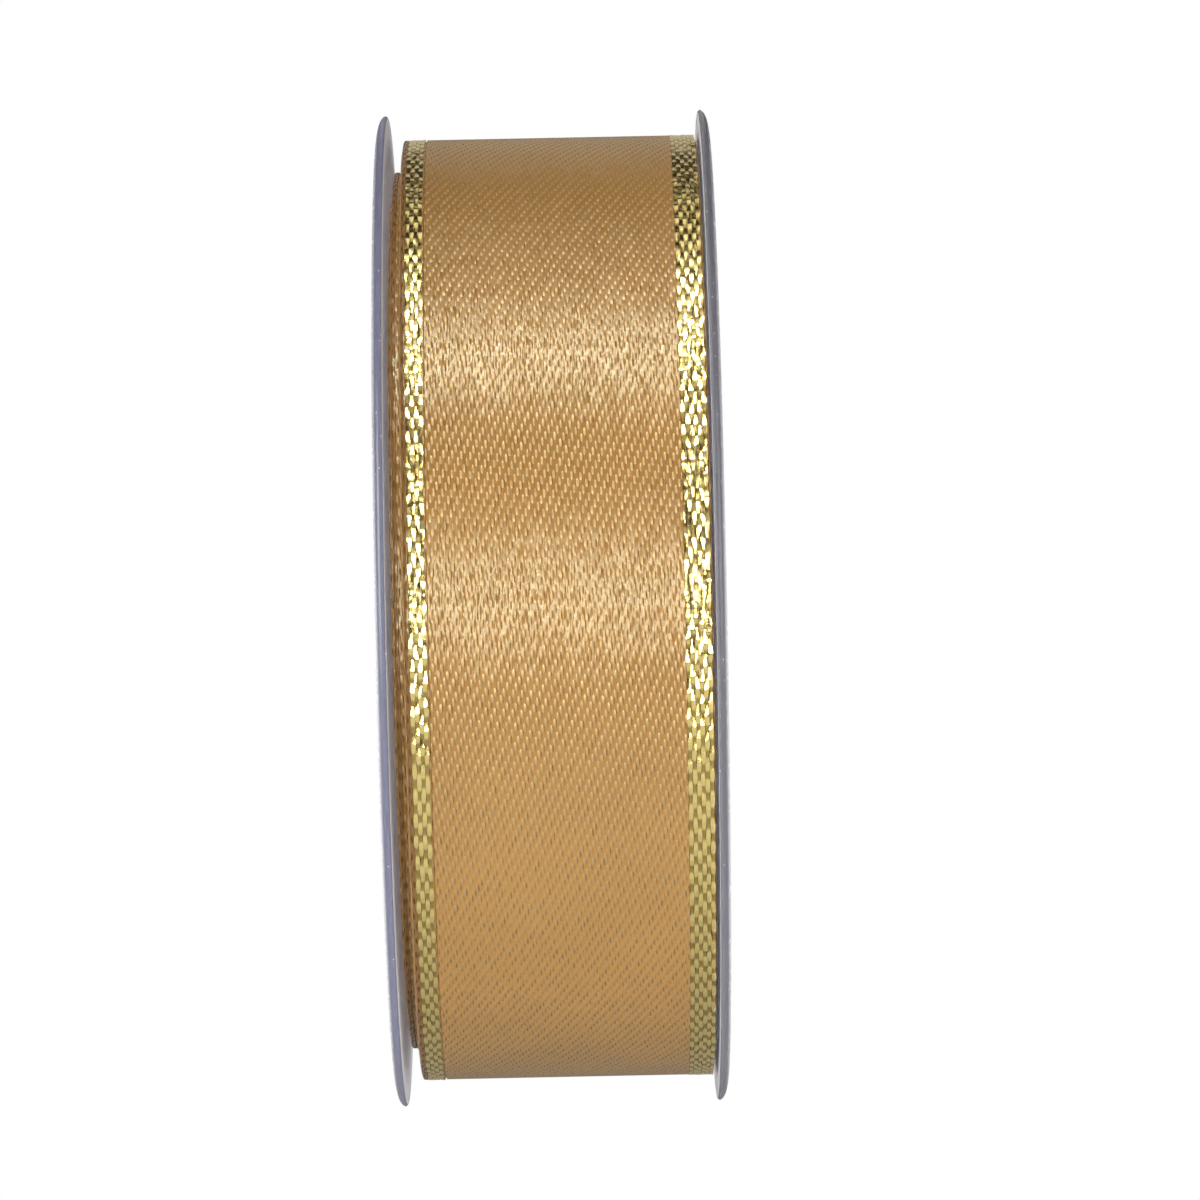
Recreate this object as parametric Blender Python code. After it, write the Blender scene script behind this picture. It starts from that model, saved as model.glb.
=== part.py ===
"""A spool of gold-edged satin ribbon, standing on its rims.

Two clear plastic flanges snap together through a hollow hub. A card core tube turns on that hub between them,
and the ribbon is wound on the tube. The ribbon's free end lies down the back, held by a tab of clear tape.

Metres, +Z up. The spool's axis is X, and the origin is the middle of that axis.
"""

import math

import bmesh
import bpy

# Ribbon
RIBBON_WIDTH = 0.025
GOLD_EDGE_LEFT = 0.0020  # with a narrow plain selvedge outside the gold yarns
GOLD_EDGE_RIGHT = 0.0021
CLOTH_SOLID = 0.00025  # a single layer of ribbon, drawn a little thicker than it is
WOUND_R = 0.0408
OUTER_TURNS_R = 0.0380  # the turns outside this radius were laid a little further right
OUTER_SHIFT = 0.0005

# Flanges
FLANGE_R = 0.0430
INSIDE_WIDTH = 0.0268
FLANGE_THICK = 0.0009
WEB_RECESS = 0.0003
RIM_BAND = 0.0020
RIM_STEP = 0.0004
BOSS_R = 0.0220

# Hub, core tube and the bore that a dispenser's rod goes through
BORE_R = 0.0150
NOSE_R = 0.0161
HUB_R = 0.0180
TUBE_OUTER_R = 0.0200
TUBE_WALL = 0.0016
BARB = 0.0008
BARB_LENGTH = 0.0010
SLOT_WIDTH = 0.0030
SLOT_START_X = 0.0040

# Free end of the ribbon and its tape, as angles about the axis, from the back (+Y) towards the top
TAIL_ROOT_DEG = 59.0
TAIL_END_DEG = 14.0
OUTER_TURN_END_DEG = 8.0
TAPE_TOP_DEG = 26.0
TAPE_END_DEG = 3.0
TAPE_WIDTH = 0.0180
START_TAPE_DEG = 40.0
START_TAPE_TOP_DEG = 110.0

GAP = 0.0003  # between neighbouring pieces
CHAMFER = 0.0002
SIDES = 64  # of a full turn
SHARP_DEG = 30.0

HALF_INSIDE = INSIDE_WIDTH / 2
HALF_RIBBON = RIBBON_WIDTH / 2
TUBE_INNER_R = TUBE_OUTER_R - TUBE_WALL
OUTER_LAYER_R = WOUND_R - CLOTH_SOLID


def clear_scene():
    for obj in list(bpy.data.objects):
        bpy.data.objects.remove(obj)


def principled(name, colour, roughness, metallic=0.0, alpha=1.0):
    """A material of one colour, see-through where alpha is below 1."""
    material = bpy.data.materials.new(name)
    material.use_nodes = True
    inputs = material.node_tree.nodes["Principled BSDF"].inputs
    inputs["Base Color"].default_value = (*colour, 1.0)
    inputs["Roughness"].default_value = roughness
    inputs["Metallic"].default_value = metallic
    inputs["Alpha"].default_value = alpha
    return material


def shade(mesh):
    mesh.shade_smooth()
    mesh.set_sharp_from_angle(angle=math.radians(SHARP_DEG))


def point_at(x, radius, degrees):
    """A point at an angle about the X axis, counted from +Y towards +Z."""
    angle = math.radians(degrees)
    return (x, radius * math.cos(angle), radius * math.sin(angle))


def spun(name, outline, material, start_deg, end_deg):
    """A solid swept about the X axis from an outline of (x, radius) points, as a whole ring or as an arc of one."""
    turn = end_deg - start_deg
    whole = turn >= 360.0
    bm = bmesh.new()
    corners = [bm.verts.new(point_at(x, radius, start_deg)) for x, radius in outline]
    if whole:
        pairs = zip(corners, corners[1:] + corners[:1])
        swept = corners + [bm.edges.new(pair) for pair in pairs]
    else:
        face = bm.faces.new(corners)
        swept = [face, *face.edges, *face.verts]
    bmesh.ops.spin(
        bm,
        geom=swept,
        axis=(1, 0, 0),
        cent=(0, 0, 0),
        angle=math.radians(turn),
        steps=max(1, round(SIDES * turn / 360.0)),
        use_merge=whole,
    )
    bmesh.ops.recalc_face_normals(bm, faces=bm.faces)
    mesh = bpy.data.meshes.new(name)
    bm.to_mesh(mesh)
    bm.free()
    mesh.materials.append(material)
    shade(mesh)
    obj = bpy.data.objects.new(name, mesh)
    bpy.context.scene.collection.objects.link(obj)
    return obj


def ring(name, outline, material):
    """A whole ring, turned so that one flat of its many sides faces straight down."""
    half_side = 180.0 / SIDES
    return spun(name, outline, material, half_side, half_side + 360.0)


def mirrored(outline):
    return [(-x, radius) for x, radius in outline]


def flange_face():
    """The left flange's outline from the bore, over its outer face and round the rim to its inner face."""
    inner_x = -HALF_INSIDE
    outer_x = inner_x - FLANGE_THICK
    web_x = outer_x + WEB_RECESS
    rim_r = FLANGE_R - RIM_BAND
    nose_x = inner_x - 0.15 * FLANGE_THICK
    web = [
        (outer_x, BOSS_R),
        (web_x, BOSS_R + RIM_STEP),
        (web_x, rim_r - RIM_STEP),
        (outer_x, rim_r),
    ]
    # The rim is a quarter of an ellipse: blunt at the inner face, and drawn back along the outer one.
    rim = []
    steps = 5
    for step in range(1, steps + 1):
        angle = math.radians(90.0 * step / steps)
        x = nose_x + (outer_x - nose_x) * math.cos(angle)
        rim.append((x, rim_r + RIM_BAND * math.sin(angle)))
    return web + rim + [(inner_x, FLANGE_R - CHAMFER)]


def left_flange(material):
    """The flange with the hub's male half: a tube to mid-width, then a thinner nose whose barbs catch the right flange."""
    outer_x = -HALF_INSIDE - FLANGE_THICK
    ledge_x = HALF_INSIDE - FLANGE_THICK + GAP
    barb_end_x = ledge_x + BARB_LENGTH
    outline = [(outer_x, BORE_R)] + flange_face() + [
        (-HALF_INSIDE, HUB_R),
        (0.0, HUB_R),
        (0.0, NOSE_R),
        (ledge_x, NOSE_R),
        (ledge_x, NOSE_R + BARB),
        (barb_end_x, NOSE_R),
        (barb_end_x, BORE_R),
    ]
    flange = ring("left_flange", outline, material)
    slot_length = barb_end_x + GAP - SLOT_START_X
    for index, turned in enumerate((0.0, math.pi / 2)):
        bpy.ops.mesh.primitive_cube_add(
            size=1.0,
            location=(SLOT_START_X + slot_length / 2, 0, 0),
            rotation=(turned, 0, 0),
            scale=(slot_length, SLOT_WIDTH, 3 * NOSE_R),
        )
        cutter = bpy.context.active_object
        cutter.name = f"snap_slot_cutter_{index}"
        cutter.hide_render = True
        cutter.display_type = "WIRE"
        cut = flange.modifiers.new(f"snap_slot_{index}", "BOOLEAN")
        cut.operation = "DIFFERENCE"
        cut.object = cutter
    return flange


def right_flange(material):
    """The flange with the hub's female half: a tube that the nose enters, with a ledge behind which its barbs catch."""
    outer_x = HALF_INSIDE + FLANGE_THICK
    ledge_x = HALF_INSIDE - FLANGE_THICK
    socket_r = NOSE_R + GAP
    counterbore_r = NOSE_R + BARB + GAP
    face = mirrored(flange_face())
    outline = [(outer_x, counterbore_r)] + face + [
        (HALF_INSIDE, HUB_R),
        (GAP, HUB_R),
        (GAP, socket_r),
        (ledge_x, socket_r),
        (ledge_x, counterbore_r),
    ]
    return ring("right_flange", outline, material)


def core_tube(material):
    end_x = HALF_INSIDE - GAP
    outline = [
        (-end_x, TUBE_INNER_R + CHAMFER),
        (-end_x, TUBE_OUTER_R - CHAMFER),
        (-end_x + CHAMFER, TUBE_OUTER_R),
        (end_x - CHAMFER, TUBE_OUTER_R),
        (end_x, TUBE_OUTER_R - CHAMFER),
        (end_x, TUBE_INNER_R + CHAMFER),
        (end_x - CHAMFER, TUBE_INNER_R),
        (-end_x + CHAMFER, TUBE_INNER_R),
    ]
    return ring("core_tube", outline, material)


def strip(low_x, high_x, inner_r):
    """The outline of one layer of cloth or tape."""
    outer_r = inner_r + CLOTH_SOLID
    return [(low_x, inner_r), (high_x, inner_r), (high_x, outer_r), (low_x, outer_r)]


def start_tape(material):
    """The tape that holds the ribbon's first end to the core tube, under every turn."""
    outline = strip(-TAPE_WIDTH / 2, TAPE_WIDTH / 2, TUBE_OUTER_R + GAP)
    low_deg = START_TAPE_TOP_DEG - START_TAPE_DEG
    return spun("start_tape", outline, material, low_deg, START_TAPE_TOP_DEG)


def ribbon_winding(material):
    """Every turn but the outermost, with the last few millimetres laid a little to the right."""
    inner_r = TUBE_OUTER_R + GAP + CLOTH_SOLID + GAP
    outer_r = OUTER_LAYER_R - GAP
    low_x = -HALF_RIBBON
    high_x = HALF_RIBBON
    outline = [
        (low_x, inner_r),
        (low_x, OUTER_TURNS_R),
        (low_x + OUTER_SHIFT, OUTER_TURNS_R + GAP),
        (low_x + OUTER_SHIFT, outer_r),
        (high_x + OUTER_SHIFT, outer_r),
        (high_x + OUTER_SHIFT, OUTER_TURNS_R + GAP),
        (high_x, OUTER_TURNS_R),
        (high_x, inner_r),
    ]
    return ring("ribbon_winding", outline, material)


def bands():
    """The ribbon's width split into its left gold edge, its satin and its right gold edge, as (name, low x, high x)."""
    low_x = -HALF_RIBBON + OUTER_SHIFT
    high_x = HALF_RIBBON + OUTER_SHIFT
    return [
        ("gold_edge_left", low_x, low_x + GOLD_EDGE_LEFT),
        ("satin", low_x + GOLD_EDGE_LEFT + GAP, high_x - GOLD_EDGE_RIGHT - GAP),
        ("gold_edge_right", high_x - GOLD_EDGE_RIGHT, high_x),
    ]


def outer_turn_and_tail(satin, gold):
    """The outermost turn, and the free end that carries on from it down the back."""
    gap_deg = math.degrees(GAP / WOUND_R)
    for band, low_x, high_x in bands():
        outline = strip(low_x, high_x, OUTER_LAYER_R)
        material = satin if band == "satin" else gold
        spun(
            f"outer_turn_{band}",
            outline,
            material,
            TAIL_ROOT_DEG + gap_deg,
            360.0 + OUTER_TURN_END_DEG,
        )
        spun(f"tail_{band}", outline, material, TAIL_END_DEG, TAIL_ROOT_DEG)


def tail_tape(material):
    """The clear tab over the ribbon's cut end, half on the free end and half on the turn below it."""
    middle_x = OUTER_SHIFT
    outline = strip(middle_x - TAPE_WIDTH / 2, middle_x + TAPE_WIDTH / 2, WOUND_R + GAP)
    return spun("tail_tape", outline, material, TAPE_END_DEG, TAPE_TOP_DEG)


def main():
    clear_scene()
    clear_blue = principled("clear_blue_plastic", (0.45, 0.49, 0.66), 0.25, alpha=0.55)
    clear_grey = principled("clear_grey_plastic", (0.42, 0.42, 0.50), 0.25, alpha=0.55)
    card = principled("card", (0.55, 0.42, 0.28), 0.85)
    tape = principled("clear_tape", (0.85, 0.84, 0.80), 0.15, alpha=0.35)
    satin = principled("satin", (0.60, 0.36, 0.13), 0.40)
    gold = principled("gold_yarn", (0.80, 0.58, 0.18), 0.25, metallic=1.0)
    left_flange(clear_blue)
    right_flange(clear_grey)
    core_tube(card)
    start_tape(tape)
    ribbon_winding(satin)
    outer_turn_and_tail(satin, gold)
    tail_tape(tape)


main()
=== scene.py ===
"""The looks of a spool of gold-edged satin ribbon, built around its CAD model.

The ribbon is one long strip, wound as a spiral from the card core to its free end. Angles about the spool's
axis (X) count from +Y, the back, towards +Z, the top. Lengths are millimetres until a mesh is made.
"""

import math

import bmesh
import bpy
import numpy as np
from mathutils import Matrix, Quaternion, Vector


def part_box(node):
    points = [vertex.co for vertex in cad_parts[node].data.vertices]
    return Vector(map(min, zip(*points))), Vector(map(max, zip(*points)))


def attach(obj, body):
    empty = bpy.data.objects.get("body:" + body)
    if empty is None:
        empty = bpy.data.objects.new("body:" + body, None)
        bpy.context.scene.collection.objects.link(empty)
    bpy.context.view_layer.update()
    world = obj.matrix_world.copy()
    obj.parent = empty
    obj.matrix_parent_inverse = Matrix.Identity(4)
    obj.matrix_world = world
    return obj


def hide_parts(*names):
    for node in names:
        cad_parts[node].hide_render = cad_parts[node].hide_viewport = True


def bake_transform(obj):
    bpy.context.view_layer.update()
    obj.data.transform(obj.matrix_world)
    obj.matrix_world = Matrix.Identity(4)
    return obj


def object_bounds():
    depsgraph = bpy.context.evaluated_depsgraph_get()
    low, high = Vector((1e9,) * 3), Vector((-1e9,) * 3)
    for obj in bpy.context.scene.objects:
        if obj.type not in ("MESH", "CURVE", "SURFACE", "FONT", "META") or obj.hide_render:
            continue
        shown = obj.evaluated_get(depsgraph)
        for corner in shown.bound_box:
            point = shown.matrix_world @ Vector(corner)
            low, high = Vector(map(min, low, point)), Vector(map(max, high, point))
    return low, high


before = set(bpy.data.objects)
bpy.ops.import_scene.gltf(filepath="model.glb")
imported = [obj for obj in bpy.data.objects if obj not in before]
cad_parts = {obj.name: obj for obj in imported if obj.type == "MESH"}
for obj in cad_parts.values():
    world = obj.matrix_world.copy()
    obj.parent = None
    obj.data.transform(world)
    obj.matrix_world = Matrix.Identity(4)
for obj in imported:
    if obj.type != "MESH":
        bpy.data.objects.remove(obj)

MM = 0.001
FULL_TURN = 2 * math.pi
CAD_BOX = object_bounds()


def span(node):
    """A CAD node's lowest and highest coordinate along the spool's axis, in mm."""
    low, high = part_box(node)
    return low[0] / MM, high[0] / MM


def outer_radius(node):
    """How far a CAD node reaches from the spool's axis, in mm."""
    return max(math.hypot(v.co.y, v.co.z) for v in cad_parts[node].data.vertices) / MM


# Ribbon, from the frame
WOUND_R = outer_radius("outer_turn_satin")
EDGE_LEFT = span("outer_turn_gold_edge_left")
EDGE_RIGHT = span("outer_turn_gold_edge_right")
RIBBON_WIDTH = EDGE_RIGHT[1] - EDGE_LEFT[0]
OUTER_SHIFT = (EDGE_RIGHT[1] + EDGE_LEFT[0]) / 2
CORE_R = outer_radius("core_tube")

# Ribbon, winding
SHIFT_R = 38.0  # the turns outside this radius lie further right
INNER_SHIFT = -0.35  # and the ones inside it further left
SHIFT_SHARPNESS = 7.0  # how suddenly one gives way to the other, per turn
WANDER = 0.09  # how far the turns stray sideways
WANDER_FROM = 2.0  # turns back from the root until they stray in full
CLOTH = 0.17
TURNS = 104 + 31 / 360
OVER_START_R = 20.62  # the second turn passes over the tape that holds the first end
CORE_GAP = 0.03  # under the first end
TAIL_ROOT_DEG = 59.0
TAIL_END_DEG = 14.0
TAIL_TURNS = (TAIL_END_DEG - TAIL_ROOT_DEG) / 360
GOLD_TURNS = 362 / 360  # back from the root, as far as the gold edges can be seen with the tail lifted
ROOT_R = WOUND_R - CLOTH  # the strip's inner face at the tail's root
PITCH = (ROOT_R - OVER_START_R) / (TURNS - 1)
SHIFT_TURNS = (ROOT_R - SHIFT_R) / PITCH

# Ribbon, steps of the mesh: fine round the outside, wide deep inside
FINE_TURNS = 2.5
FINE_STEPS = 288  # for each turn
DEEP_STEPS = 72
TAIL_ROWS = 49
RIPPLE = 0.010  # height of the outer turn's waviness
RIPPLE_SLANT = 90.0  # mm across the ribbon that shift the waviness by one turn

# Gold edges
FILM_PITCH = 0.352
FILM_PERIOD = 2.1
FILM_RISE = 0.061
FILM_HEIGHT = 0.122  # of a yarn's middle over the strip's inner face, about which it rises and dips
FILM_CROWN = 0.010
FILM_GRAIN = 0.0028
FILM_STEPS = 14  # for each period
GROUND = 0.02  # height of the base cloth under the gold yarns
SELVEDGE = 0.44  # plain cloth outside the left gold edge
SEAM = 0.15  # plain cloth between the left gold edge and the satin

# Satin weave: one weft repeat, one pick, and the shift from each pick to the next
WEFT_REPEAT = (0.728, -0.067)
PICK = (-0.026, 0.554)
PICK_SHIFT = 0.4
FLOAT_HALF = (0.105, 0.37)  # half width and half length of a weft float's dot
SLIT_HALF = (0.085, 0.42)  # and of the slit beside it
SLIT_PLACE = 0.18  # across from the dot's middle to the slit's

# Flanges
FLANGE_R = (CAD_BOX[1].z - CAD_BOX[0].z) / 2 / MM
FLANGE_THICK = 0.9
INSIDE = span("left_flange")[0] + FLANGE_THICK
BORE_R = 15.0
NOSE_R = 16.1
HUB_R = 18.0
BOSS_R = 22.0
BARB = 0.8
BARB_LENGTH = 1.0
WEB_RECESS = 0.3
STEP_SLOPE = 0.4
EDGE_FILLET = 0.15
RIM_BAND = 2.0
RIM_STEPS = 14
GAP = 0.3
SLOT_WIDTH = 3.0
SLOT_ROOT = 4.0  # where the slots in the hub's nose begin along the axis
LATHE_SIDES = 256
FILLET_STEPS = 4

# Clear tape on the tail's end
TAPE_DEG = (26.0, 3.0)
TAPE_ROWS = 70
TAPE_TEETH = 13
TAPE_TOOTH_DEG = 0.75
TAPE_THICK = 0.05
TAPE_LIFT = 0.075  # over the cloth
TAPE_STEP_DEG = (0.1, 1.6)  # from the tail's end to the step down, and the step's length
TAPE_SLACK = 0.02

# Stage
FLOOR_FRONT = 152.0  # how far the floor reaches in front of the spool
FLOOR_SIZE = 3.0  # metres
# The floor's painted shadow under the spool fades out over this distance.
FLOOR_FADE = 70.0  # from the spool's middle to where the floor's light reaches its full strength
LIGHT_DISTANCE = 700.0
WHITE = (1.0, 1.0, 1.0, 1.0)

rng = np.random.default_rng(20)


# ---------------------------------------------------------------- meshes


def loft(name, rings, materials, uv=None, face_slots=None, closed_along=False):
    """A tube-like mesh through rings of points. rings[i, j] is point j of ring i, in mm.

    Each ring is closed, and the last one is joined to the first or both are capped. uv has one more row and
    column than the faces have, so that it can run on over a seam.
    """
    count, size = rings.shape[:2]
    rows = count if closed_along else count - 1
    i, j = np.meshgrid(np.arange(rows), np.arange(size), indexing="ij")
    i2, j2 = (i + 1) % count, (j + 1) % size
    quads = np.stack([i * size + j, i * size + j2, i2 * size + j2, i2 * size + j], -1).reshape(-1, 4)
    faces = quads.tolist()
    if not closed_along:
        faces += [list(range(size))[::-1], list(range((count - 1) * size, count * size))]
    mesh = bpy.data.meshes.new(name)
    mesh.from_pydata((rings.reshape(-1, 3) * MM).tolist(), [], faces)
    for material in materials:
        mesh.materials.append(material)
    if face_slots is not None:
        slots = np.zeros(len(faces), np.int32)
        slots[: len(quads)] = np.tile(face_slots, rows)
        mesh.polygons.foreach_set("material_index", slots)
    if uv is not None:
        corners = np.stack([uv[i, j], uv[i, j + 1], uv[i + 1, j + 1], uv[i + 1, j]], 2).reshape(-1, 2)
        if len(faces) > len(quads):
            corners = np.concatenate([corners, uv[0, :size][::-1], uv[-1, :size]])
        mesh.uv_layers.new(name="Cloth").data.foreach_set("uv", corners.astype(np.float32).ravel())
    mesh.update()
    obj = bpy.data.objects.new(name, mesh)
    bpy.context.scene.collection.objects.link(obj)
    return obj


def finish_mesh(obj, sharp_deg):
    """Faces turned outwards, and shaded smooth except over sharp edges."""
    bm = bmesh.new()
    bm.from_mesh(obj.data)
    bmesh.ops.recalc_face_normals(bm, faces=bm.faces)
    bm.to_mesh(obj.data)
    bm.free()
    obj.data.shade_smooth()
    obj.data.set_sharp_from_angle(angle=math.radians(sharp_deg))
    return obj


def join(name, objs):
    """One object from several, with the first one's materials."""
    with bpy.context.temp_override(active_object=objs[0], selected_editable_objects=objs):
        bpy.ops.object.join()
    objs[0].name = name
    objs[0].data.name = name
    return objs[0]


def apply_modifiers(obj):
    bpy.context.view_layer.update()
    made = bpy.data.meshes.new_from_object(obj.evaluated_get(bpy.context.evaluated_depsgraph_get()))
    obj.modifiers.clear()
    obj.data = made


def ease(t):
    """0 to 1 smoothly, as t goes from 0 to 1."""
    t = np.clip(t, 0, 1)
    return t**2 * (3 - 2 * t)


def around(x, radius, degrees):
    """Points at an angle about the axis."""
    angle = np.radians(degrees)
    x, radius, angle = np.broadcast_arrays(x, radius, angle)
    return np.stack([x, radius * np.cos(angle), radius * np.sin(angle)], -1)


def rounded(outline):
    """A closed outline of (x, radius, fillet) corners with each corner rounded by its fillet."""
    points = []
    count = len(outline)
    for index in range(count):
        before, here, after = (
            np.array(outline[(index + k) % count][:2], float) for k in (-1, 0, 1)
        )
        fillet = outline[index][2]
        if fillet <= 0:
            points.append(tuple(here))
            continue
        back, ahead = before - here, after - here
        fillet = min(fillet, 0.45 * np.linalg.norm(back), 0.45 * np.linalg.norm(ahead))
        start = here + back / np.linalg.norm(back) * fillet
        end = here + ahead / np.linalg.norm(ahead) * fillet
        for t in np.linspace(0, 1, FILLET_STEPS + 1):
            points.append(tuple((1 - t) ** 2 * start + 2 * t * (1 - t) * here + t**2 * end))
    return points


def lathe(name, outline, material):
    """A ring turned about the axis from a closed outline of (x, radius) points."""
    x, radius = np.array(outline).T
    degrees = np.arange(LATHE_SIDES) * 360.0 / LATHE_SIDES
    rings = around(x[None, :], radius[None, :], degrees[:, None])
    return finish_mesh(loft(name, rings, [material], closed_along=True), sharp_deg=35.0)


def waves(low, high, count):
    """A smooth random function of a number, of about unit size, from sines between two frequencies."""
    frequency = rng.uniform(low, high, count)
    phase = rng.uniform(0, FULL_TURN, count)
    size = rng.uniform(0.5, 1.0, count) / math.sqrt(count * 0.3)

    def value(t):
        t = np.asarray(t, float)[..., None]
        return (size * np.sin(FULL_TURN * frequency * t + phase)).sum(-1)

    return value


# ---------------------------------------------------------------- node graphs


class Graph:
    """A material's node tree, with short calls for the nodes used here. Arguments are numbers or sockets."""

    def __init__(self, name):
        self.material = bpy.data.materials.new(name)
        self.material.use_nodes = True
        self.nodes = self.material.node_tree.nodes
        self.links = self.material.node_tree.links
        self.shader = self.nodes["Principled BSDF"]

    def add(self, kind, inputs=None, **settings):
        node = self.nodes.new(kind)
        for key, value in settings.items():
            setattr(node, key, value)
        for key, value in (inputs or {}).items():
            self.put(node.inputs[key], value)
        return node

    def put(self, socket, value):
        if isinstance(value, bpy.types.NodeSocket):
            self.links.new(value, socket)
        elif isinstance(value, tuple) and len(value) == 3 and socket.type == "RGBA":
            socket.default_value = (*value, 1.0)
        else:
            socket.default_value = value

    def set(self, **inputs):
        """Sets the shader's sockets; an underscore in a name stands for a space."""
        for key, value in inputs.items():
            self.put(self.shader.inputs[key.replace("_", " ")], value)

    def math(self, operation, *values):
        inputs = dict(enumerate(values))
        return self.add("ShaderNodeMath", inputs, operation=operation).outputs[0]

    def plus(self, a, b):
        return self.math("ADD", a, b)

    def minus(self, a, b):
        return self.math("SUBTRACT", a, b)

    def times(self, a, b):
        return self.math("MULTIPLY", a, b)

    def vector(self, operation, *values, scale=None):
        inputs = dict(enumerate(values))
        node = self.add("ShaderNodeVectorMath", inputs, operation=operation)
        if scale is not None:
            self.put(node.inputs["Scale"], scale)
        return node.outputs["Value" if operation in ("LENGTH", "DOT_PRODUCT") else "Vector"]

    def combine(self, x=0.0, y=0.0, z=0.0):
        return self.add("ShaderNodeCombineXYZ", {0: x, 1: y, 2: z}).outputs[0]

    def separate(self, vector):
        return self.add("ShaderNodeSeparateXYZ", {0: vector}).outputs

    def steps(self, value, low, high, to_low=0.0, to_high=1.0):
        """value from low to high, carried over smoothly to to_low to to_high."""
        inputs = {0: value, 1: low, 2: high, 3: to_low, 4: to_high}
        return self.add("ShaderNodeMapRange", inputs, interpolation_type="SMOOTHSTEP").outputs[0]

    def mix(self, factor, a, b, blend="MIX"):
        """Colours a to b by factor."""
        inputs = {0: factor, 6: a, 7: b}
        return self.add("ShaderNodeMix", inputs, data_type="RGBA", blend_type=blend).outputs[2]

    def pick_vector(self, factor, a, b):
        """Vectors a to b by factor."""
        inputs = {0: factor, 4: a, 5: b}
        return self.add("ShaderNodeMix", inputs, data_type="VECTOR").outputs[1]

    def shaded(self, colour, amount):
        """colour times amount."""
        return self.mix(1.0, colour, amount, "MULTIPLY")

    def noise(self, vector, scale, detail=2.0, roughness=0.5):
        inputs = {"Vector": vector, "Scale": scale, "Detail": detail, "Roughness": roughness}
        return self.add("ShaderNodeTexNoise", inputs).outputs[0]

    def cloth_position(self):
        """Across and along the ribbon, in mm."""
        uv = self.add("ShaderNodeUVMap", uv_map="Cloth").outputs[0]
        return self.separate(uv)[0:2]

    def object_mm(self):
        """The point in the object's own frame, in mm."""
        coords = self.add("ShaderNodeTexCoord").outputs["Object"]
        return self.vector("SCALE", coords, scale=1 / MM)

    def tilted_normal(self, tilt_across, tilt_along):
        """The surface normal leant across the ribbon and along it by these slopes."""
        normal = self.add("ShaderNodeNewGeometry").outputs["Normal"]
        along = self.vector("CROSS_PRODUCT", normal, (1.0, 0.0, 0.0))
        leant = self.vector("ADD", normal, self.combine(tilt_across))
        leant = self.vector("ADD", leant, self.vector("SCALE", along, scale=tilt_along))
        return self.vector("NORMALIZE", leant)

    def bump(self, height, distance, strength):
        inputs = {"Height": height, "Distance": distance, "Strength": strength}
        return self.add("ShaderNodeBump", inputs).outputs[0]


def radial(g, position):
    """Distance from the spool's axis, in mm."""
    flat = g.vector("MULTIPLY", position, (0.0, 1.0, 1.0))
    return g.vector("LENGTH", flat)


# ---------------------------------------------------------------- materials


def ellipse(g, u, v, half):
    """0 at the middle of an ellipse with these half axes and 1 on its outline."""
    return g.plus(
        g.math("POWER", g.times(u, 1 / half[0]), 2.0),
        g.math("POWER", g.times(v, 1 / half[1]), 2.0),
    )


def weave_float(g, across, along, pick):
    """The float of the satin weave that is nearest a point on one pick.

    Gives (offset across, offset along, height), the float's number, and the depth of the slit beside it.
    """
    dy = g.minus(along, pick)
    shifted = g.minus(across, g.times(pick, PICK_SHIFT))
    repeat = g.math("ROUND", shifted)
    dx = g.minus(shifted, repeat)
    u = g.times(dx, WEFT_REPEAT[0])
    v = g.times(dy, PICK[1])
    dot = ellipse(g, u, v, FLOAT_HALF)
    height = g.math("MAXIMUM", g.minus(1.0, g.times(dot, 0.5)), 0.0)
    gap = ellipse(g, g.minus(u, SLIT_PLACE), v, SLIT_HALF)
    slit = g.math("MAXIMUM", g.minus(1.0, gap), 0.0)
    return g.combine(u, v, height), g.combine(repeat, pick), slit


def satin_weave(g, u, v):
    """Five-end satin, from the nearer of the two floats that can cover a point.

    Gives its (u, v, height) sockets, a random colour of its own, and the slits' depth there.
    """
    (a, b), (c, d) = WEFT_REPEAT, PICK
    area = a * d - b * c
    across = g.plus(g.times(u, d / area), g.times(v, -c / area))
    along = g.plus(g.times(u, -b / area), g.times(v, a / area))
    below = g.math("FLOOR", along)
    near, near_number, near_slit = weave_float(g, across, along, below)
    far, far_number, far_slit = weave_float(g, across, along, g.plus(below, 1.0))
    higher = g.math("GREATER_THAN", g.separate(far)[2], g.separate(near)[2])
    dash = g.separate(g.pick_vector(higher, near, far))
    number = g.pick_vector(higher, near_number, far_number)
    random = g.add("ShaderNodeTexWhiteNoise", {"Vector": number}).outputs["Color"]
    return dash, random, g.math("MAXIMUM", near_slit, far_slit)


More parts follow.
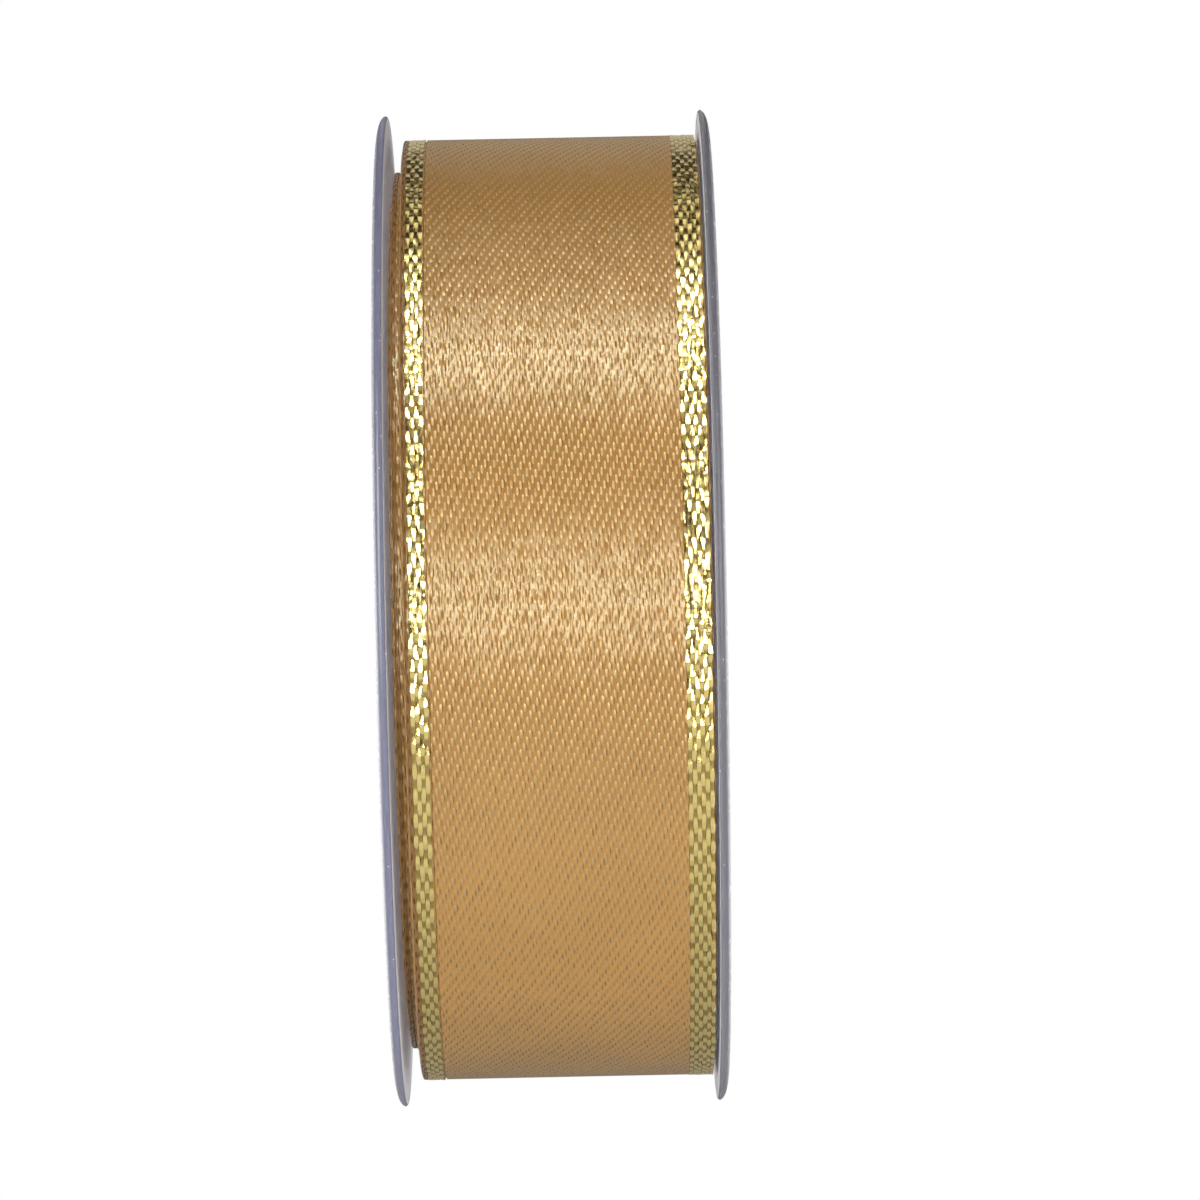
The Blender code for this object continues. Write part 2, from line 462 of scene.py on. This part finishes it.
def satin():
    """Satin face: smooth warp, and a lattice of small raised weft dots with a slit of painted shade beside
    each, and a selvedge darkened with painted shade.
    """
    warp_dark, warp_light = (0.300, 0.138, 0.023), (0.330, 0.153, 0.027)
    streak_dark, streak_light = (0.80, 0.80, 0.80), (1.2, 1.2, 1.2)
    # The first colour is painted shade for the slits beside the weft dots; the second is the dots' own
    # colour.
    shaded_slit_colour, dot_colour = (0.18, 0.072, 0.010), (0.57, 0.385, 0.180)
    # Plain selvedge cloth, darker than the satin, and darkened further with painted shade.
    shaded_selvedge_colour = (0.17, 0.075, 0.016)
    g = Graph("satin_face")
    u, v = g.cloth_position()
    dot, random, slit = satin_weave(g, u, v)
    raised = g.steps(dot[2], 0.42, 0.62)
    chance = g.separate(random)
    streak = g.noise(g.combine(g.times(u, 6.0), g.times(v, 0.55)), 1.0, 3.0)
    # Mask of the painted shade in the slit beside each dot; it also roughens the slits and tilts them.
    shaded_slit = g.times(g.steps(slit, 0.0, 0.7), g.minus(1.0, raised))
    shaded_slit = g.times(shaded_slit, g.steps(streak, 0.38, 0.60, 1.0, 0.25))
    patch = g.noise(g.combine(u, v), 0.11, 2.0)
    lean = g.plus(g.times(g.minus(streak, 0.5), 1.5), g.times(g.minus(chance[0], 0.5), 0.08))
    sides = g.times(g.times(dot[0], 2.5), raised)
    ends = g.times(g.math("MINIMUM", g.math("MAXIMUM", g.times(dot[1], 0.7), -0.2), 0.2), raised)
    ends = g.minus(ends, g.times(shaded_slit, 0.6))
    roll = g.plus(g.times(g.minus(chance[1], 0.5), 0.07), g.times(g.minus(patch, 0.5), 0.03))
    warp = g.mix(g.steps(patch, 0.3, 0.7), warp_dark, warp_light)
    warp = g.shaded(warp, g.mix(streak, streak_dark, streak_light))
    # Painted shade: the slits beside the dots turn dark brown.
    cloth = g.mix(shaded_slit, warp, shaded_slit_colour)
    cloth = g.mix(raised, cloth, dot_colour)
    half = RIBBON_WIDTH / 2
    # Painted shade over the selvedge at both sides, ending just short of the ribbon's edge.
    edge = g.steps(g.math("ABSOLUTE", u), half - SELVEDGE, half - SELVEDGE + 0.1)
    edge = g.times(edge, g.steps(g.math("ABSOLUTE", u), half - 0.10, half - 0.05, 1.0, 0.0))
    cloth = g.mix(edge, cloth, shaded_selvedge_colour)
    g.set(
        Base_Color=cloth,
        Metallic=g.times(raised, 0.8),
        Roughness=g.plus(g.steps(raised, 0.0, 1.0, 0.28, 0.50), g.times(shaded_slit, 0.55)),
        IOR=1.74,
        Specular_Tint=(0.92, 0.98, 0.72),
        Normal=g.tilted_normal(g.plus(sides, lean), g.plus(ends, roll)),
    )
    return g.material


def ribbon_back():
    """The ribbon's plain side: weft-faced, dull, with a fine twill."""
    g = Graph("satin_back")
    u, v = g.cloth_position()
    twill_pitch = 0.277
    rib = g.math("SINE", g.times(g.plus(g.times(u, 0.4), v), FULL_TURN / twill_pitch))
    grain = g.noise(g.combine(g.times(u, 0.6), g.times(v, 6.0)), 1.0, 3.0)
    cloth = g.mix(g.steps(rib, -1.0, 1.0), (0.34, 0.17, 0.05), (0.52, 0.28, 0.095))
    cloth = g.shaded(cloth, g.mix(grain, (0.8, 0.8, 0.8), (1.15, 1.15, 1.15)))
    g.set(Base_Color=cloth, Roughness=0.72, Specular_IOR_Level=0.3)
    g.set(Normal=g.tilted_normal(g.times(g.minus(grain, 0.5), 0.2), g.times(rib, 0.16)))
    return g.material


def gold_film():
    """Slit metallised film: yellow metal, finely crinkled, with painted shade where it dips into the cloth.
    """
    g = Graph("gold_film")
    position = g.object_mm()
    dip = g.steps(g.cloth_position()[0], -0.8, 0.1, 1.0, 0.0)
    crinkle = g.noise(position, 5.0, 3.0)
    cross = g.noise(position, 2.1, 2.0)
    colour = g.mix(crinkle, (0.95, 0.73, 0.24), (0.98, 0.80, 0.34))
    # Painted shade: the film turns dark brown where it dips into the cloth.
    colour = g.mix(g.times(dip, 0.7), colour, (0.26, 0.175, 0.028))
    g.set(
        Base_Color=colour,
        Metallic=1.0,
        Roughness=g.steps(cross, 0.3, 0.7, 0.17, 0.28),
        Normal=g.bump(g.plus(crinkle, cross), 0.00001, 0.7),
    )
    return g.material


def clear_plastic(name, web_colour, rim_colour):
    """Moulded polystyrene, scuffed and specked: a clear web, and a rim deep enough to show its tint."""
    g = Graph(name)
    position = g.object_mm()
    r = radial(g, position)
    normal = g.add("ShaderNodeNewGeometry").outputs["Normal"]
    outward = g.vector("NORMALIZE", g.vector("MULTIPLY", position, (0.0, 1.0, 1.0)))
    facing = g.vector("DOT_PRODUCT", normal, outward)
    near_rim = g.steps(r, FLANGE_R - 2.5, FLANGE_R - 1.8)
    rim = g.times(g.steps(facing, 0.05, 0.5), near_rim)
    inner = g.steps(g.math("ABSOLUTE", g.separate(position)[0]), -INSIDE + 0.1, -INSIDE + 0.3, 1.0, 0.0)
    flow = g.noise(position, 0.35, 4.0)
    scuff = g.noise(g.vector("MULTIPLY", position, (6.0, 0.9, 0.9)), 1.0, 5.0, 0.65)
    speck = g.add("ShaderNodeTexVoronoi", {"Vector": position, "Scale": 1.1}).outputs["Distance"]
    speck = g.steps(speck, 0.05, 0.11, 1.0, 0.0)
    tint = g.mix(rim, web_colour, rim_colour)
    tint = g.shaded(tint, g.mix(flow, (0.86, 0.86, 0.88), (1.1, 1.1, 1.1)))
    tint = g.mix(g.times(speck, 0.55), tint, (0.9, 0.9, 0.92))
    rough = g.plus(g.steps(rim, 0.0, 1.0, 0.22, 0.30), g.times(inner, 0.22))
    filled = g.math("MAXIMUM", rim, g.math("MAXIMUM", g.times(near_rim, 0.85), g.times(inner, 0.65)))
    g.set(
        Base_Color=tint,
        Roughness=g.plus(rough, g.times(g.steps(scuff, 0.5, 0.75), 0.12)),
        Transmission_Weight=g.steps(filled, 0.0, 1.0, 0.70, 0.20),
        Subsurface_Weight=1.0,
        Subsurface_Radius=(1.0, 1.0, 1.0),
        Subsurface_Scale=0.0008,
        IOR=1.5,
        Normal=g.bump(g.plus(flow, g.times(scuff, 0.3)), 0.00004, 0.5),
    )
    return g.material


def card():
    """Grey-brown core board: paper plies on the cut ends, a helical seam and fibres on the faces."""
    seam_pitch = 40.0
    g = Graph("core_card")
    position = g.object_mm()
    x, y, z = g.separate(position)[0:3]
    ply = g.noise(g.combine(g.times(radial(g, position), 6.0)), 1.0, 2.0)
    fibre = g.noise(g.vector("MULTIPLY", position, (1.0, 4.0, 4.0)), 1.0, 6.0, 0.7)
    turn = g.times(g.math("ARCTAN2", z, y), 1 / FULL_TURN)
    seam = g.math("PINGPONG", g.plus(g.times(x, 1 / seam_pitch), turn), 0.5)
    seam = g.steps(seam, 0.004, 0.010, 0.55, 1.0)
    colour = g.mix(g.times(g.plus(ply, fibre), 0.5), (0.28, 0.19, 0.11), (0.62, 0.48, 0.33))
    g.set(
        Base_Color=g.shaded(colour, g.combine(seam, seam, seam)),
        Roughness=g.steps(fibre, 0.3, 0.7, 0.8, 0.95),
        Normal=g.bump(g.plus(fibre, ply), 0.00008, 0.6),
    )
    return g.material


def clear_tape():
    """Clear adhesive film: glossy, faintly streaked, a little yellow."""
    g = Graph("clear_tape")
    position = g.object_mm()
    streak = g.noise(g.vector("MULTIPLY", position, (0.2, 2.5, 2.5)), 1.0, 3.0)
    g.set(
        Base_Color=g.mix(streak, (0.88, 0.86, 0.78), (0.96, 0.96, 0.92)),
        Roughness=g.steps(streak, 0.3, 0.7, 0.06, 0.16),
        Alpha=0.12,
        IOR=1.47,
        Normal=g.bump(streak, 0.00002, 0.6),
    )
    return g.material


# ---------------------------------------------------------------- ribbon


def turn_radius(turns):
    """Radius of the strip's inner face, by turns back from the tail's root.

    The first turn climbs from the core over its own tape.
    """
    turns = np.asarray(turns, float)
    spiral = ROOT_R - PITCH * turns
    first = np.clip(turns - (TURNS - 1), 0, 1)
    return spiral + ease(first) * (CORE_R + CORE_GAP - OVER_START_R) + PITCH * first * ease(first)


def turn_length(turns):
    """Ribbon between the tail's root and a place that many turns back."""
    return FULL_TURN * ((ROOT_R + CLOTH / 2) * turns - PITCH * np.asarray(turns, float) ** 2 / 2)


wander = waves(0.05, 1.1, 14)
wobble = waves(1.0, 6.0, 9)


def strip_centre(turns):
    """Where the strip's middle lies along the axis: outer turns further right, and inner ones straying."""
    turns = np.asarray(turns, float)
    outer = (1 - np.tanh((turns - SHIFT_TURNS) * SHIFT_SHARPNESS)) / 2
    shift = INNER_SHIFT + (OUTER_SHIFT - INNER_SHIFT) * outer
    straying = np.clip(turns / WANDER_FROM, 0, 1)
    return shift + WANDER * straying * wander(turns)


def strip_section():
    """(across, height) round the strip's section, from the left selvedge over the face and back beneath."""
    half = RIBBON_WIDTH / 2
    left = EDGE_LEFT[1] - OUTER_SHIFT
    right = EDGE_RIGHT[0] - OUTER_SHIFT
    return np.array(
        [
            (-half, 0.45 * CLOTH),
            (-half + 0.08, CLOTH),
            (-half + SELVEDGE - 0.04, CLOTH),
            (-half + SELVEDGE + 0.02, GROUND),
            (left - 0.05, GROUND),
            (left + 0.02, CLOTH),
            (right - 0.02, CLOTH),
            (right + 0.05, GROUND),
            (half - 0.06, GROUND),
            (half, 0.3 * CLOTH),
            (half - 0.08, 0.0),
            (-half + 0.08, 0.0),
        ]
    )


def strip(name, turns, materials):
    """The ribbon's cloth along an array of turns, which runs from one place of the spiral to another."""
    section = strip_section()
    across, height = section.T
    degrees = TAIL_ROOT_DEG + 360.0 * turns
    x = strip_centre(turns)[:, None] + across[None, :]
    radius = turn_radius(turns)[:, None] + height[None, :]
    outermost = np.clip(1 - turns, 0, 1)[:, None]
    waviness = RIPPLE * outermost * wobble(turns[:, None] + across[None, :] / RIPPLE_SLANT)
    radius = radius + waviness * (height[None, :] > 0)
    rings = around(x, radius, degrees[:, None])
    u = np.append(across, across[0])[None, :].repeat(len(turns), 0)
    v = -turn_length(turns)[:, None].repeat(len(across) + 1, 1)
    under = np.zeros(len(section), np.int32)
    under[-2] = 1
    obj = loft(name, rings, materials, np.stack([u, v], -1), under)
    return finish_mesh(obj, sharp_deg=50.0)


def ribbon(materials):
    """The whole wound length, from the core to the tail's root."""
    deep = np.arange(TURNS, FINE_TURNS, -1 / DEEP_STEPS)
    fine = np.arange(FINE_TURNS, 0.0, -1 / FINE_STEPS)
    turns = np.concatenate([deep, fine, [0.0]])
    return strip("ribbon", turns, materials)


def tail(materials):
    """The free end, from its root to its cut end."""
    turns = np.linspace(0.0, TAIL_TURNS, TAIL_ROWS)
    return strip("ribbon_tail", turns, materials)


# ---------------------------------------------------------------- gold edges


def film_yarn(name, column, centre, first, last, material):
    """One flat gold yarn: it rises over the cloth where its neighbours dip into it, and leans a little."""
    length = turn_length(first) - turn_length(last)
    count = max(8, round(abs(float(length)) / FILM_PERIOD * FILM_STEPS))
    turns = np.linspace(first, last, count)
    run = turn_length(turns) / FILM_PERIOD
    phase = FULL_TURN * (run + 0.5 * (column % 2)) + 0.5 * waves(0.02, 0.3, 6)(run)
    rise = 1 + 0.20 * waves(0.2, 0.9, 8)(run)
    lean = 0.07 * waves(0.15, 1.1, 12)(run)
    sway = 0.018 * waves(0.2, 0.9, 8)(run)
    crest = np.sin(phase)
    # Nearly straight slopes up and down, as the film is stiff between its crossings
    lift = FILM_RISE * rise * (crest - np.sin(3 * phase) / 9 + np.sin(5 * phase) / 40)
    half = FILM_PITCH * (0.45 + 0.09 * crest)
    place = np.array([-1.0, -0.45, 0.0, 0.45, 1.0])
    crown = FILM_CROWN * (1 - np.abs(place) ** 2.2)
    across = centre + sway[:, None] + place[None, :] * half[:, None]
    height = FILM_HEIGHT + lift[:, None] + crown[None, :]
    height = height + lean[:, None] * place[None, :] * half[:, None]
    height = height + rng.normal(0.0, FILM_GRAIN, height.shape)
    degrees = TAIL_ROOT_DEG + 360.0 * turns
    radius = turn_radius(turns)[:, None] + height
    rings = around(across + strip_centre(turns)[:, None], radius, degrees[:, None])
    uv = np.stack(np.broadcast_arrays(crest[:, None], run[:, None] + np.zeros(len(place) + 1)), -1)
    return loft(name, rings, [material], uv)


def gold_edge(name, band, first, last, material):
    """Every gold yarn of one edge, between two places of the spiral."""
    low, high = band[0] - OUTER_SHIFT, band[1] - OUTER_SHIFT
    if high < 0:
        low, high = low + SELVEDGE, high - SEAM
    columns = round((high - low) / FILM_PITCH)
    yarns = []
    for column in range(columns):
        centre = low + FILM_PITCH * (column + 0.5)
        yarns.append(film_yarn(f"{name}_{column}", column, centre, first, last, material))
    return finish_mesh(join(name, yarns), sharp_deg=55.0)


# ---------------------------------------------------------------- flanges


def flange_face():
    """The left flange's outline, from the bore over its outer face and round the rim to its inner face."""
    outer = INSIDE - FLANGE_THICK
    web = outer + WEB_RECESS
    rim = FLANGE_R - RIM_BAND
    face = [
        (outer, BOSS_R, EDGE_FILLET),
        (web, BOSS_R + STEP_SLOPE, EDGE_FILLET),
        (web, rim - STEP_SLOPE, EDGE_FILLET),
        (outer, rim, EDGE_FILLET),
    ]
    nose = INSIDE - EDGE_FILLET
    for step in range(1, RIM_STEPS + 1):
        angle = math.radians(90.0 * step / RIM_STEPS)
        x = nose + (outer - nose) * math.cos(angle)
        face.append((x, rim + RIM_BAND * math.sin(angle), 0.0))
    return face + [(INSIDE + 0.02, FLANGE_R - 0.16, 0.06), (INSIDE, FLANGE_R - 0.40, 0.06)]


def left_flange(material):
    """The flange with the hub's male half, its nose cut by four slots so that its barbs can snap in."""
    outer = INSIDE - FLANGE_THICK
    ledge = -INSIDE - FLANGE_THICK + GAP
    outline = [(outer, BORE_R, 0.25)] + flange_face() + [
        (INSIDE, HUB_R, 0.3),
        (0.0, HUB_R, EDGE_FILLET),
        (0.0, NOSE_R, 0.1),
        (ledge, NOSE_R, 0.0),
        (ledge, NOSE_R + BARB, 0.1),
        (ledge + BARB_LENGTH, NOSE_R, EDGE_FILLET),
        (ledge + BARB_LENGTH, BORE_R, EDGE_FILLET),
    ]
    flange = lathe("left_flange_clear", rounded(outline), material)
    length = ledge + BARB_LENGTH + GAP - SLOT_ROOT
    for index, turned in enumerate((0.0, math.pi / 2)):
        bpy.ops.mesh.primitive_cube_add(
            size=MM,
            location=((SLOT_ROOT + length / 2) * MM, 0, 0),
            rotation=(turned, 0, 0),
            scale=(length, SLOT_WIDTH, 3 * NOSE_R),
        )
        cutter = bpy.context.active_object
        cut = flange.modifiers.new(f"slot_{index}", "BOOLEAN")
        cut.operation = "DIFFERENCE"
        cut.object = cutter
        apply_modifiers(flange)
        bpy.data.objects.remove(cutter)
    return finish_mesh(flange, sharp_deg=35.0)


def right_flange(material):
    """The flange with the hub's female half, and the ledge that the barbs catch behind."""
    outer = -INSIDE + FLANGE_THICK
    ledge = -INSIDE - FLANGE_THICK
    socket = NOSE_R + GAP
    counterbore = NOSE_R + BARB + GAP
    face = [(-x, radius, fillet) for x, radius, fillet in flange_face()]
    outline = [(outer, counterbore, 0.25)] + face + [
        (-INSIDE, HUB_R, 0.3),
        (GAP, HUB_R, EDGE_FILLET),
        (GAP, socket, 0.1),
        (ledge, socket, 0.1),
        (ledge, counterbore, 0.1),
    ]
    return lathe("right_flange_clear", rounded(outline), material)


# ---------------------------------------------------------------- tape


def tape(material):
    """The clear tab over the ribbon's cut end: it lies on the tail, and past the end on the turn below."""
    low_x, high_x = span("tail_tape")
    degrees = np.linspace(*TAPE_DEG, TAPE_ROWS)
    past_end, stretch = TAPE_STEP_DEG
    down = ease((TAIL_END_DEG - past_end - degrees) / stretch) * (PITCH - TAPE_SLACK)
    radius = turn_radius(-(TAIL_ROOT_DEG - degrees) / 360) + CLOTH + TAPE_LIFT - down
    columns = TAPE_TEETH * 2 + 1
    x = np.linspace(low_x, high_x, columns)
    zigzag = np.where(np.arange(columns) % 2, TAPE_TOOTH_DEG, 0.0)
    place = np.linspace(-1, 1, TAPE_ROWS)[:, None]
    near_end = np.clip(np.abs(place) * 6 - 5, 0, 1)
    spots = degrees[:, None] + zigzag[None, :] * near_end * np.sign(place)
    upper = around(x[None, :], radius[:, None] + TAPE_THICK, spots)
    lower = around(x[None, ::-1], radius[:, None], spots[:, ::-1])
    return finish_mesh(loft("tape_tab", np.concatenate([upper, lower], 1), [material]), sharp_deg=30.0)


# ---------------------------------------------------------------- stage


def soft_light(name, elevation, azimuth, width, height, radiance):
    """A rectangular soft light that faces the spool. Azimuth 0 is in front and 90 on the right."""
    up, side = math.radians(elevation), math.radians(azimuth)
    towards = Vector((math.sin(side) * math.cos(up), -math.cos(side) * math.cos(up), math.sin(up)))
    data = bpy.data.lights.new(name, "AREA")
    data.shape = "RECTANGLE"
    data.size, data.size_y = width * MM, height * MM
    data.energy = radiance * math.pi * data.size * data.size_y
    light = bpy.data.objects.new(name, data)
    light.location = towards * LIGHT_DISTANCE * MM
    light.rotation_mode = "QUATERNION"
    light.rotation_quaternion = towards.to_track_quat("Z", "Y")
    light.visible_camera = False
    light.visible_transmission = False
    bpy.context.scene.collection.objects.link(light)
    return light


def by_ray(tree, glossy, diffuse):
    """A strength of 1 seen straight or through the plastic, and others for mirrored and scattered rays."""
    path = tree.nodes.new("ShaderNodeLightPath")

    def choose(switch, off, on):
        node = tree.nodes.new("ShaderNodeMix")
        tree.links.new(path.outputs[switch], node.inputs[0])
        for socket, value in ((node.inputs[2], off), (node.inputs[3], on)):
            if isinstance(value, float):
                socket.default_value = value
            else:
                tree.links.new(value, socket)
        return node.outputs[0]

    strength = choose("Is Diffuse Ray", glossy, diffuse)
    strength = choose("Is Transmission Ray", strength, 1.0)
    return choose("Is Camera Ray", strength, 1.0)


def backdrop():
    """A white world, dim to mirrored and scattered rays."""
    world = bpy.data.worlds.new("studio")
    world.use_nodes = True
    bpy.context.scene.world = world
    background = world.node_tree.nodes["Background"]
    world.node_tree.links.new(by_ray(world.node_tree, 0.02, 0.10), background.inputs["Strength"])
    background.inputs["Color"].default_value = WHITE


def floor_surface():
    """White, and to mirrored and scattered rays darker under the spool than in front of it and behind: a
    painted shadow.
    """
    material = bpy.data.materials.new("pale_floor")
    material.use_nodes = True
    tree = material.node_tree
    tree.nodes.remove(tree.nodes["Principled BSDF"])
    emission = tree.nodes.new("ShaderNodeEmission")
    emission.inputs["Color"].default_value = WHITE
    place = tree.nodes.new("ShaderNodeNewGeometry").outputs["Position"]
    split = tree.nodes.new("ShaderNodeSeparateXYZ")
    tree.links.new(place, split.inputs[0])
    away = tree.nodes.new("ShaderNodeMath")
    away.operation = "ABSOLUTE"
    tree.links.new(split.outputs["Y"], away.inputs[0])

    # Painted shadow: low strength under the spool, rising to full strength FLOOR_FADE away.
    def shadowed_strength(low, high):
        node = tree.nodes.new("ShaderNodeMapRange")
        node.interpolation_type = "SMOOTHSTEP"
        tree.links.new(away.outputs[0], node.inputs[0])
        for socket, value in zip(node.inputs[1:5], (0.0, FLOOR_FADE * MM, low, high)):
            socket.default_value = value
        return node.outputs[0]

    tree.links.new(by_ray(tree, shadowed_strength(0.32, 0.70), shadowed_strength(1.06, 2.2)), emission.inputs["Strength"])
    tree.links.new(emission.outputs[0], tree.nodes["Material Output"].inputs["Surface"])
    return material


def studio():
    bpy.context.scene.view_settings.view_transform = "Standard"
    backdrop()
    middle = (0, FLOOR_SIZE / 2 - FLOOR_FRONT * MM, CAD_BOX[0].z)
    bpy.ops.mesh.primitive_plane_add(size=FLOOR_SIZE, location=middle)
    floor = bpy.context.active_object
    floor.name = "floor"
    floor.data.materials.append(floor_surface())
    soft_light("key", 63.5, 0.0, 160, 210, 21.0)
    soft_light("front", 4.7, 0.0, 170, 280, 16.5)
    soft_light("upper", 37.0, 0.0, 300, 430, 0.25)
    soft_light("overhead", 89.0, 0.0, 250, 390, 0.8)
    soft_light("rear", 150.0, 0.0, 400, 440, 0.5)
    soft_light("left_fill", 8.0, -80.0, 500, 400, 7.5).visible_transmission = True
    soft_light("right_fill", 8.0, 80.0, 500, 400, 3.0).visible_transmission = True


def camera():
    """In front of the spool, a little above its middle and to the right, and slightly rolled."""
    data = bpy.data.cameras.new("camera")
    data.sensor_width = 36.0
    data.lens = 207.0
    distance, elevation, to_right = 0.6, math.radians(3.0), 2.35 * MM
    eye = Vector((to_right, -distance * math.cos(elevation), distance * math.sin(elevation)))
    obj = bpy.data.objects.new("camera", data)
    bpy.context.scene.collection.objects.link(obj)
    roll = Quaternion((0, 0, 1), math.radians(-1.165))
    facing = (-eye).to_track_quat("-Z", "Y") @ roll
    aim_right, aim_up = 4.10 * MM, 0.70 * MM
    aim = facing @ Vector((aim_right, aim_up, 0))
    obj.location = eye
    obj.rotation_mode = "QUATERNION"
    obj.rotation_quaternion = (aim - eye).to_track_quat("-Z", "Y") @ roll
    data.clip_start, data.clip_end = 0.01, 10.0
    bpy.context.scene.camera = obj


# ---------------------------------------------------------------- the spool


def build():
    cloth = [satin(), ribbon_back()]
    gold = gold_film()
    film = clear_tape()

    wound = ribbon(cloth)
    edges = [
        gold_edge("gold_edge_left", EDGE_LEFT, GOLD_TURNS, 0.0, gold),
        gold_edge("gold_edge_right", EDGE_RIGHT, GOLD_TURNS, 0.0, gold),
    ]
    free = tail(cloth)
    free_edges = [
        gold_edge("tail_gold_left", EDGE_LEFT, 0.0, TAIL_TURNS, gold),
        gold_edge("tail_gold_right", EDGE_RIGHT, 0.0, TAIL_TURNS, gold),
    ]
    tab = tape(film)
    blue = clear_plastic("clear_blue", web_colour=(0.86, 0.85, 0.87), rim_colour=(0.145, 0.146, 0.205))
    grey = clear_plastic("clear_grey", web_colour=(0.84, 0.84, 0.88), rim_colour=(0.155, 0.150, 0.168))
    left = left_flange(blue)
    right = right_flange(grey)

    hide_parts("ribbon_winding", "outer_turn_satin")
    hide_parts("outer_turn_gold_edge_left")
    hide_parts("outer_turn_gold_edge_right")
    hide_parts("tail_satin")
    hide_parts("tail_gold_edge_left")
    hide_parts("tail_gold_edge_right")
    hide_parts("tail_tape")
    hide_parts("left_flange")
    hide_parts("right_flange")

    for piece in (wound, *edges):
        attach(piece, "winding")
    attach(tab, "tail")
    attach(left, "reel")
    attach(right, "reel")
    for piece in (free, *free_edges):
        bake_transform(piece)

    for node, material in (("core_tube", card()), ("start_tape", film)):
        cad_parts[node].data.materials.clear()
        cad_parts[node].data.materials.append(material)


build()
studio()
camera()
bpy.context.view_layer.update()
